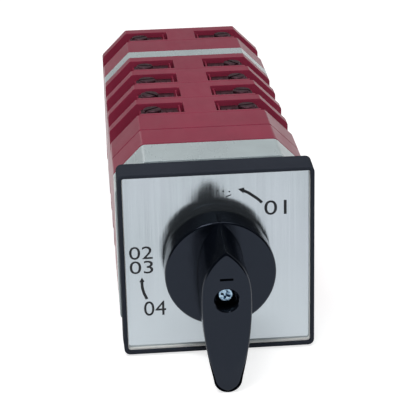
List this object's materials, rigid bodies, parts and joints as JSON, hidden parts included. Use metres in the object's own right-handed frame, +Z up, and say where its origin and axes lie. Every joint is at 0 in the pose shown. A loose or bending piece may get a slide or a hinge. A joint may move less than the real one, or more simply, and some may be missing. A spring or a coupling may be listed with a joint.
{
  "type": "panel-mounted rotary cam changeover switch",
  "caption": "Panel-mounted rotary cam changeover switch: square dial plate with a lever handle in front of a long eight-sided stack of contact blocks with open corner terminals.",
  "frame": {"origin": "on the switch axis, in the plane where the bezel's back meets the front housing and the panel sheet is clamped", "axes": "+X right and +Z up as seen from the front; +Y back along the switch axis, from the handle to the tie rod nuts"},
  "size_m": [0.065, 0.2095, 0.065],
  "materials": {
    "bezel_black": "satin, faintly blue black",
    "handle_black": "satin to gloss black",
    "dial_silver": "brushed up and down",
    "housing_grey": "satin light grey-green",
    "housing_red": "satin dark red",
    "contact_brass": "dull plated",
    "screw_zinc": "zinc plated, faintly blue"
  },
  "bodies": {
    "switch_body": {"bezel": "bezel_black", "dial_plate": "dial_silver", "panel_screws": "screw_zinc", "front_housing": "housing_grey", "latch_housing_front": "housing_red", "latch_housing_rear": "housing_red", "contact_block_1": "housing_red", "contact_block_2": "housing_red", "contact_block_3": "housing_red", "contact_block_4": "housing_red", "divider": "housing_grey", "spacer": "housing_red", "contact_block_5": "housing_red", "contact_rails_1": "contact_brass", "contact_rails_2": "contact_brass", "contact_rails_3": "contact_brass", "contact_rails_4": "contact_brass", "contact_rails_5": "contact_brass", "clamp_washers_1": "screw_zinc", "clamp_washers_2": "screw_zinc", "clamp_washers_3": "screw_zinc", "clamp_washers_4": "screw_zinc", "clamp_washers_5": "screw_zinc", "terminal_screws_1": "screw_zinc", "terminal_screws_2": "screw_zinc", "terminal_screws_3": "screw_zinc", "terminal_screws_4": "screw_zinc", "terminal_screws_5": "screw_zinc", "tie_rods": "screw_zinc", "tie_washers": "screw_zinc", "tie_nuts": "screw_zinc"},
    "handle_body": {"shaft": "screw_zinc", "handle": "handle_black", "handle_screw": "screw_zinc"}
  },
  "joints": [
    {"name": "handle_turn", "type": "hinge", "parent": "switch_body", "child": "handle_body", "pos_m": [0, 0, 0], "axis": [0, 1, 0], "range_deg": [-135, 45]}
  ]
}
